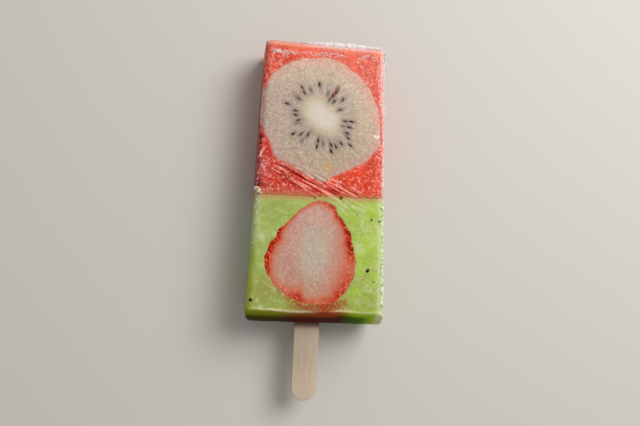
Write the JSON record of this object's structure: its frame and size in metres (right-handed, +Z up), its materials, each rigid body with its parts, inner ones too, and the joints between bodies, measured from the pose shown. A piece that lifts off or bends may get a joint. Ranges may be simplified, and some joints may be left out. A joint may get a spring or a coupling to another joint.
{
  "type": "ice lolly",
  "caption": "Rectangular two-flavour fruit ice lolly on a flat wooden stick, red ice over green, with a kiwi slice and a strawberry slice frozen in its front, lying on its back.",
  "frame": {"origin": "middle of the whole length, stick included, on the flat back that the lolly lies on", "axes": "+Y from the stick to the tip, +X across the bar to the right of the shown side, +Z up out of the shown side"},
  "size_m": [0.0522, 0.141, 0.0235],
  "materials": {
    "red_ice": "frosted strawberry ice, frozen in a mould",
    "green_ice": "frosted kiwi ice, frozen in a mould",
    "kiwi_flesh": "frozen pale kiwi flesh, cut across",
    "strawberry_flesh": "frozen strawberry flesh, cut lengthways",
    "stick_wood": "plain sanded birch"
  },
  "bodies": {
    "root": {"red_ice": "red_ice", "green_ice": "green_ice", "kiwi_slice": "kiwi_flesh", "strawberry_slice": "strawberry_flesh", "stick": "stick_wood"}
  },
  "joints": []
}
